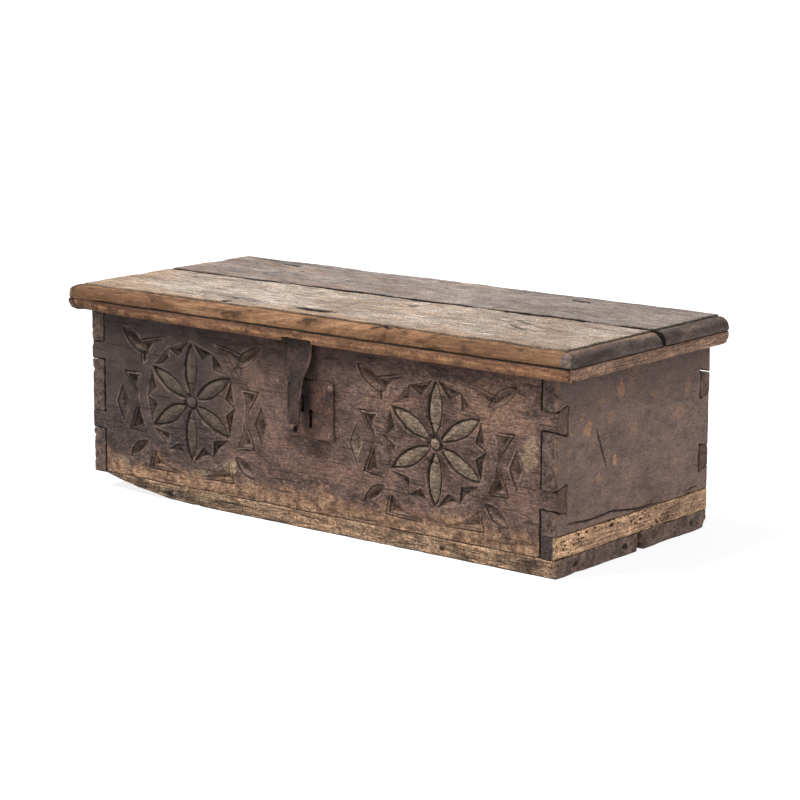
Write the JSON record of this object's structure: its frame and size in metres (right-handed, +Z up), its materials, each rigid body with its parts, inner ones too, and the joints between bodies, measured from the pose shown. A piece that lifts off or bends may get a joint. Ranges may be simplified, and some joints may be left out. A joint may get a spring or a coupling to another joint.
{
  "type": "coffer chest",
  "caption": "Dovetailed wooden coffer with a hinged lid, chip-carved front rosettes, an iron lock plate with a sliding bolt, and a hinged iron hasp.",
  "frame": {"origin": "middle of the underside of the base", "axes": "+Z up, the carved front faces -Y, +X to the right as seen from the front"},
  "size_m": [0.644, 0.2912, 0.2182],
  "materials": {
    "panel_wood": "old dark wax, worn, carved",
    "end_wood": "old dark wax, dry and scratched",
    "strip_wood": "bare, worm-eaten",
    "base_wood": "dry, worn at the edges",
    "lid_wood": "bare weathered, open grain",
    "edge_wood": "worn to warm bare wood",
    "lock_iron": "brown rust, rubbed",
    "works_iron": "dark, greased",
    "hasp_iron": "forged, dark rust",
    "hinge_iron": "drawn wire, dark rust",
    "nail_iron": "forged, dark"
  },
  "bodies": {
    "chest": {"front_panel": "panel_wood", "back_panel": "panel_wood", "left_side_board": "end_wood", "right_side_board": "end_wood", "right_side_strip": "strip_wood", "base_front_plank": "base_wood", "base_rear_plank": "base_wood", "base_nails": "nail_iron", "lock_plate": "lock_iron", "lock_plate_nails": "lock_iron", "bolt_guides": "works_iron", "bolt_spring": "works_iron", "left_hinge_body_eye": "hinge_iron", "right_hinge_body_eye": "hinge_iron"},
    "lid": {"lid_front_board": "lid_wood", "lid_rear_board": "lid_wood", "lid_front_moulding": "edge_wood", "lid_left_cleat": "edge_wood", "lid_right_cleat": "edge_wood", "moulding_nails": "nail_iron", "cleat_nails": "nail_iron", "left_hinge_lid_eye": "hinge_iron", "right_hinge_lid_eye": "hinge_iron", "hasp_leaf": "hasp_iron", "hasp_leaf_nails": "nail_iron", "hasp_pin": "hasp_iron"},
    "hasp_strap": {"hasp": "hasp_iron", "hasp_staple": "hasp_iron"},
    "bolt": {"lock_bolt": "works_iron"}
  },
  "joints": [
    {"name": "lid_hinge", "type": "hinge", "parent": "chest", "child": "lid", "pos_m": [0, 0.13537, 0.2017], "axis": [-1, 0, 0], "range_deg": [0, 100]},
    {"name": "hasp_hinge", "type": "hinge", "parent": "lid", "child": "hasp_strap", "pos_m": [-0.0066, -0.1352, 0.2001], "axis": [-1, 0, 0], "range_deg": [-6.3, 40]},
    {"name": "bolt_slide", "type": "slide", "parent": "chest", "child": "bolt", "axis": [-1, 0, 0], "range_m": [0, 0.011]}
  ]
}
